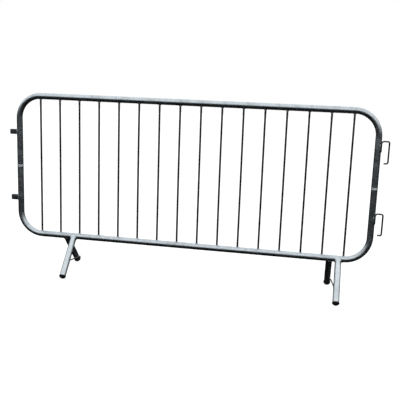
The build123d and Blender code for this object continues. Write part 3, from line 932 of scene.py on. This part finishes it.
# %% [markdown]
# ## Rods: the braces and the hooks
# Thin rod is cut, bent cold and welded on. The ends keep a small rounded edge from the shears. A
# rod's skin is a circle carried along its path, with extra rows at each end that shrink it.

# %% Rod skin
rod_edge, rod_unevenness = 1.2 * MM, 0.12 * MM


def rod_shell(centres, sides, ups, ends, travelled, radius, seed):
    """A rod along given rows; ends holds the directions in which its two ends point."""
    turn = np.linspace(0, pi / 2, 5)[1:]
    shrink, push = radius - rod_edge + rod_edge * np.cos(turn), rod_edge * np.sin(turn)
    first = centres[:1] + push[::-1, None] * ends[0]
    last = centres[-1:] + push[:, None] * ends[1]
    centres = np.vstack([first, centres, last])
    # the end rows point the way that the first and the last row do
    sides, ups = (np.vstack([np.tile(rows[:1], (4, 1)), rows, np.tile(rows[-1:], (4, 1))])
                  for rows in (sides, ups))
    travelled = np.concatenate([travelled[0] - push[::-1], travelled, travelled[-1] + push])
    radii = np.concatenate([shrink[::-1], np.full(len(centres) - 8, radius), shrink])[:, None]
    angle = round_angles(28)[None, :]
    circle = round_skin(centres, sides, ups, radii, angle)
    radii = worn_radius(radii, rod_unevenness, circle, 14 * MM, seed)
    reach, lift = radii * np.cos(angle), radii * np.sin(angle)
    return shell(carry(centres, sides, ups, reach, lift), follow(reach, lift, travelled, seed))


# %% Hooks
hook_bend_radii = (14 * MM, 9 * MM, 9 * MM)
hook_return_length = 23 * MM
hook_root_length = 62 * MM
hook_boxes = {level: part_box(f"{level}_hook") for level in LEVELS}
hook_rod_radius = (hook_boxes["upper"][1].y - hook_boxes["upper"][0].y) / 2


def hook_shell(level, seed):
    """Up the upright, over, down and back in: the hook's rod along its bent path."""
    low, high = hook_boxes[level]
    root_x, outer_x = low.x + hook_rod_radius, high.x - hook_rod_radius
    arm_z, return_z = high.z - hook_rod_radius, low.z + hook_rod_radius
    root_bend, bend, last_bend = hook_bend_radii
    straights = [hook_root_length - root_bend, outer_x - root_x - root_bend - bend,
                 arm_z - return_z - bend - last_bend, hook_return_length - last_bend]
    runs = [(straights[0], 0)]
    for radius, straight in zip(hook_bend_radii, straights[1:]):
        runs += [(radius * pi / 2, -pi / 2), (straight, 0)]
    flat, heading, travelled = bent_path((root_x, arm_z - hook_root_length), pi / 2, runs,
                                         step=4 * MM, bend_step=radians(9))
    centres, sides, ups, forward = stand_up(flat, heading, (low.y + high.y) / 2)
    centres[0] += rod_edge * forward[0]
    centres[-1] -= rod_edge * forward[-1]
    return rod_shell(centres, sides, ups, (-forward[0], forward[-1]), travelled, hook_rod_radius, seed)


for number, level in enumerate(LEVELS):
    make_piece(f"{level}_hook_rod", [hook_shell(level, 500 + number)], rod_painted_shade_zinc, "galvanised_rod",
               f"{level}_hook")


# %% Beads along a groove
def groove_bead(centre, along, to_a, to_b, width, length, seed, crown=0.9 * MM, root_depth=0.8 * MM):
    """A straight bead in a groove: centre is its middle, to_a and to_b point at its two toes."""
    centre, along, to_a, to_b = (np.asarray(v, float) for v in (centre, along, to_a, to_b))
    place = np.linspace(-length / 2, length / 2, max(16, ceil(length / (0.6 * MM))))
    line = centre + place[:, None] * unit(along)
    wide = width * (1 + 0.15 * lumps(line, 11 * MM, seed))[:, None]
    out = unit(unit(to_a) + unit(to_b))
    rows = len(line)
    return bead(line + wide * unit(to_a), line + wide * unit(to_b), line - root_depth * out,
                np.tile(out, (rows, 1)), crown, seed, closed=False)


# %% Hook beads
hook_bead_length, hook_bead_width, hook_bead_offset = 40 * MM, 3.4 * MM, 3.6 * MM
hook_beads = []
for low, high in hook_boxes.values():
    to_rod = unit(np.array([low.x + hook_rod_radius - upright_x, (low.y + high.y) / 2, 0]))
    sideways = np.array([-to_rod[1], to_rod[0], 0])
    middle_z = high.z - hook_root_length + hook_bead_length / 2
    # the groove lies beside the line of touch, where rod and tube have parted by a millimetre
    touch = np.array([upright_x, 0, middle_z]) + (tube_radius + 0.7 * MM) * to_rod
    for turn in (-1, 1):
        on_tube = turn * sideways - 0.45 * to_rod
        on_rod = turn * 0.55 * sideways + 0.9 * to_rod
        seat = touch + turn * hook_bead_offset * sideways
        hook_beads.append(groove_bead(seat, (0, 0, 1), on_tube, on_rod, hook_bead_width,
                                      hook_bead_length, 520 + turn + 10 * len(hook_beads)))
make_piece("hook_beads", hook_beads, bead_painted_highlight_zinc, "galvanised_weld", "hook_welds")


# %% Braces
brace_radius, brace_sag = 4 * MM, 0.6 * MM
brace_front_reach, brace_rear_reach = 175 * MM, 250 * MM
brace_front_turn = radians(45)
brace_front_overhang, brace_rear_overhang = 3 * MM, 15 * MM


def leg_contact(leg, reach, turn, distance):
    """A point beside a leg, turned from its gap side towards its underside."""
    top, along, upper, down = leg_axes(leg)
    return top + leg.side * distance * cos(turn) * along - distance * sin(turn) * upper + reach * down


def square_to(along):
    """Two directions square to a rod: one level and one upwards."""
    side = unit(np.cross(along, [0, 0, 1.0]))
    return side, np.cross(side, along)


def brace_shell(front, rear, along, seed):
    """A straight rod from inside the front leg's skin to just past the rear leg."""
    start = front - brace_front_overhang * along
    length = np.linalg.norm(rear - front) + brace_front_overhang + brace_rear_overhang - rod_edge
    travelled = np.linspace(0, length, 50)
    sag = brace_sag * np.sin(pi * travelled / length)
    centres = start + travelled[:, None] * along - sag[:, None] * np.array([0, 0, 1.0])
    sides, ups = (np.tile(way, (50, 1)) for way in square_to(along))
    return rod_shell(centres, sides, ups, (-along, along), travelled, brace_radius, seed)


# %% Brace beads
end_bead_reach, end_bead_climb = 3.0 * MM, 2.6 * MM
side_bead_offset, side_bead_width, side_bead_length = 3.0 * MM, 2.8 * MM, 13 * MM


def end_bead(leg, front, along, seed):
    """The ring round the rod's cut end, between the rod and the front leg.

    A line beside the rod's axis leaves the leg where its distance from the leg's axis is the leg's
    radius, which is the larger root of a quadratic in the distance along the rod.
    """
    angle = round_angles(48)
    side, up = square_to(along)
    top, _, _, down = leg_axes(leg)
    way = along - np.dot(along, down) * down

    def on_rod(radius):
        start = front + radius * (np.cos(angle)[:, None] * side + np.sin(angle)[:, None] * up)
        flat = (start - top) - np.sum((start - top) * down, -1, keepdims=True) * down
        a, b = np.dot(way, way), 2 * flat @ way
        c = np.sum(flat * flat, -1) - leg_radius ** 2
        travel = (-b + np.sqrt(np.clip(b * b - 4 * a * c, 0, None))) / (2 * a)
        return start + travel[:, None] * along

    toe_leg = on_rod(brace_radius + end_bead_reach) - 0.2 * MM * along
    toe_rod = on_rod(brace_radius - 0.1 * MM) + end_bead_climb * along
    root = on_rod(brace_radius - 0.6 * MM) - 0.8 * MM * along
    return bead(toe_leg, toe_rod, root, unit((toe_leg + toe_rod) / 2 - root), 0.8 * MM, seed, closed=True)


def side_beads(rear, along, seed):
    """Two straight beads, in the grooves where the rod lies against the rear leg."""
    across = unit(np.cross(along, [1.0, 0, 0]))
    beads = []
    for turn in (-1, 1):
        seat = rear + side_bead_offset * turn * across - np.array([brace_radius - 0.4 * MM, 0, 0])
        to_leg = turn * across - np.array([0.35, 0, 0])
        to_rod = 0.5 * turn * across + np.array([1.0, 0, 0])
        beads.append(groove_bead(seat, along, to_leg, to_rod, side_bead_width, side_bead_length,
                                 seed + turn, root_depth=0.5 * MM))
    return beads


brace_beads = []
for number, end in enumerate(ENDS):
    front_leg, rear_leg = legs[2 * number:2 * number + 2]
    front = leg_contact(front_leg, brace_front_reach, brace_front_turn, leg_radius + brace_radius / 2)
    rear = leg_contact(rear_leg, brace_rear_reach, 0, leg_radius + brace_radius)
    along = unit(rear - front)
    make_piece(f"{end}_brace_rod", [brace_shell(front, rear, along, 540 + number)], rod_painted_shade_zinc,
               "galvanised_rod", f"{end}_leg_brace")
    brace_beads += [end_bead(front_leg, front, along, 560 + number),
                    *side_beads(rear, along, 570 + 3 * number)]
make_piece("brace_beads", brace_beads, bead_painted_highlight_zinc, "galvanised_weld", "brace_welds")


# %% [markdown]
# ## Loops
# A loop is flat bar, bent flat-side in around a pin and welded to the upright by its two ends. Its
# section is a tall rectangle with slightly rounded edges, carried round the bend.

# %% Loops
loop_thickness, loop_edge, loop_sunk, loop_bead_width = 5 * MM, 0.9 * MM, 1.2 * MM, 3.6 * MM
loop_boxes = {level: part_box(f"{level}_loop") for level in LEVELS}
loop_half_width = (loop_boxes["upper"][1].y - loop_boxes["upper"][0].y) / 2
loop_height = loop_boxes["upper"][1].z - loop_boxes["upper"][0].z


def rounded_bar(width, height, edge, per_corner=5, per_side=6):
    """A rectangle with rounded corners, as one closed line: four quarter circles, joined by runs."""
    turn = np.linspace(0, pi / 2, per_corner)
    across, up = [], []
    for corner in range(4):
        base = corner * pi / 2
        cx = (width / 2 - edge) * (1 if corner in (0, 3) else -1)
        cy = (height / 2 - edge) * (1 if corner in (0, 1) else -1)
        across.append(cx + edge * np.cos(base + turn))
        up.append(cy + edge * np.sin(base + turn))
    across, up = np.concatenate(across), np.concatenate(up)
    share = np.linspace(0, 1, per_side, endpoint=False)[1:]
    after_across, after_up = np.roll(across, -1), np.roll(up, -1)
    lines = []
    for i in range(len(across)):
        lines.append([[across[i], up[i]]])
        if i % per_corner == per_corner - 1:
            ends = np.array([[across[i], up[i]], [after_across[i], after_up[i]]])
            lines.append(ends[0] + share[:, None] * (ends[1] - ends[0]))
    return np.vstack(lines)


def loop_shell(level, seed):
    """The flat bar's section carried from inside the upright, out, round the turn and back in."""
    low, high = loop_boxes[level]
    z = (low.z + high.z) / 2
    mid = loop_half_width - loop_thickness / 2
    turn_x = low.x + loop_half_width
    start_x = -upright_x - sqrt(tube_radius ** 2 - mid ** 2) + loop_sunk
    straight = start_x - turn_x
    runs = [(straight, 0), (mid * pi, -pi), (straight, 0)]
    flat, heading, travelled = bent_path((start_x, -mid), pi, runs, step=3 * MM, bend_step=radians(6))
    centres = np.stack([flat[:, 0], flat[:, 1], np.full(len(flat), z)], -1)
    sides = np.stack([-np.sin(heading), np.cos(heading), 0 * heading], -1)
    ups = np.tile([0.0, 0.0, 1.0], (len(flat), 1))
    section = rounded_bar(loop_thickness, loop_height, loop_edge)
    reach = np.tile(section[:, 0], (len(flat), 1))
    lift = np.tile(section[:, 1], (len(flat), 1))
    bar = carry(centres, sides, ups, reach, lift)
    uneven = 1 - 0.012 * (1 + lumps(bar, 12 * MM, seed))
    return shell(carry(centres, sides, ups, reach * uneven, lift * (1 - (1 - uneven) * 0.2)),
                 follow(reach, lift, travelled, seed))


loop_beads = []
for number, level in enumerate(LEVELS):
    make_piece(f"{level}_loop_strap", [loop_shell(level, 600 + number)], strap_painted_shade_zinc, "galvanised_flat_bar",
               f"{level}_loop")
    low, high = loop_boxes[level]
    for side in (-1, 1):
        back = sqrt(tube_radius ** 2 - loop_half_width ** 2)
        out = np.array([-back, side * loop_half_width, 0]) / tube_radius
        seat = np.array([-upright_x, 0, (low.z + high.z) / 2]) + (tube_radius - 0.2 * MM) * out
        to_strap = np.array([-1.0, side * 0.1, 0])
        to_tube = np.array([out[1] * side, -out[0] * side, 0])
        loop_beads.append(groove_bead(seat, (0, 0, 1), to_strap, to_tube, loop_bead_width,
                                      loop_height - 2 * MM, 620 + 2 * number + side, crown=1.0 * MM))
make_piece("loop_beads", loop_beads, bead_painted_highlight_zinc, "galvanised_weld", "loop_welds")


# %% [markdown]
# ## What stays as it is
# The two sleeves inside the uprights can't be seen once the frame is closed. Their CAD shape is
# already right, so they only get a finish.

# %% Sleeves
for end in ENDS:
    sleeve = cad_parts[f"{end}_joint_sleeve"]
    sleeve.data.materials.clear()
    sleeve.data.materials.append(sleeve_zinc)


# %% [markdown]
# ## Stage
# A metal shows what is around it. The barrier's tubes are bright where they face up and nearly
# black where they face down, so the light here is a wide soft sky over dark ground. The floor is a
# pale sheet that the metal doesn't mirror, and that catches only a faint shadow under the feet.

# %% Floor
def join_shaders(tree, first, second, factor, place):
    """Two shaders added, or mixed by a factor where one is given."""
    if factor is None:
        return wire_all(tree, node(tree, "AddShader", place), [first, second]).outputs[0]
    return wire_all(tree, node(tree, "MixShader", place), [factor, first, second]).outputs[0]


floor_mesh = bpy.data.meshes.new("floor")
corner = 15.0
floor_mesh.from_pydata([(-corner, -corner, 0), (corner, -corner, 0), (corner, corner, 0),
                        (-corner, corner, 0)], [], [(0, 1, 2, 3)])
floor = bpy.data.objects.new("floor", floor_mesh)
scene.collection.objects.link(floor)
floor_material = bpy.data.materials.new("pale_floor")
tree = fresh_tree(floor_material)
# matt grey under a steady glow: nearly white, and still able to catch a shadow
matt = wire_all(tree, node(tree, "BsdfDiffuse", (0, 0)), {"Color": (0.30, 0.30, 0.30, 1)})
glow = wire_all(tree, node(tree, "Emission", (0, 1)), {"Color": (1, 1, 1, 1), "Strength": 0.86})
both = join_shaders(tree, matt.outputs[0], glow.outputs[0], None, (1, 0))
wire_all(tree, node(tree, "OutputMaterial", (2, 0)), [both])
floor_mesh.materials.append(floor_material)
floor.visible_glossy = False
floor.visible_diffuse = False
print("floor", 2 * corner, "metres square")

# %% Sky
# brightness against the sine of the height above the horizon
sky_steps = [(-1.0, 0.003), (-0.45, 0.012), (-0.12, 0.030), (0.03, 0.075), (0.15, 0.38), (0.29, 0.96),
             (0.6, 1.10), (1.0, 1.12)]
sky = bpy.data.worlds.new("soft_sky")
scene.world = sky
tree = fresh_tree(sky)
direction = node(tree, "TexCoord", (-2, 0)).outputs["Generated"]
rise = spread(tree, upward(tree, direction, (-1, 0)), -1.0, 1.0, (0, 0), way="LINEAR")
ramp = wire_all(tree, node(tree, "ValToRGB", (1, 0)), [rise])
elements = ramp.color_ramp.elements
while len(elements) < len(sky_steps):
    elements.new(0.5)
for element, (height, level) in zip(elements, sky_steps):
    element.position = (height + 1) / 2
    element.color = (0.96 * level, 1.0 * level, 1.02 * level, 1)
# the steel mirrors the sky, while the camera sees plain white behind the barrier
lit = wire_all(tree, node(tree, "Background", (2, 0)), [ramp.outputs[0]])
seen = wire_all(tree, node(tree, "Background", (2, 1)), [(1, 1, 1, 1), 1.0])
looked_at = node(tree, "LightPath", (2, -1)).outputs["Is Camera Ray"]
pick = join_shaders(tree, lit.outputs[0], seen.outputs[0], looked_at, (3, 0))
wire_all(tree, node(tree, "OutputWorld", (4, 0)), [pick])
scene.view_settings.view_transform = "Standard"
print("sky of", len(sky_steps), "steps")

# %% [markdown]
# ## Camera
# The view is from a little above, from the hook end's side, with the long side to the front.

# %% Camera
azimuth, elevation, roll = radians(10.745), radians(11.399), radians(2.032)
eye = (0.795, -3.797, 1.070 + bottom_rail_z)
focal_length = 59.04  # millimetres, on a sensor 36 mm wide
forward = np.array([-sin(azimuth) * cos(elevation), cos(azimuth) * cos(elevation), -sin(elevation)])
level_right = np.array([cos(azimuth), sin(azimuth), 0])
level_up = np.cross(level_right, forward)
right = cos(roll) * level_right + sin(roll) * level_up
up = cos(roll) * level_up - sin(roll) * level_right
lens = bpy.data.cameras.new("camera")
lens.lens = focal_length
camera = bpy.data.objects.new("camera", lens)
place = Matrix(np.column_stack([right, up, -forward]).tolist()).to_4x4()
place.translation = eye
print("camera at", [round(v, 3) for v in eye])
camera.matrix_world = place
scene.collection.objects.link(camera)
scene.camera = camera
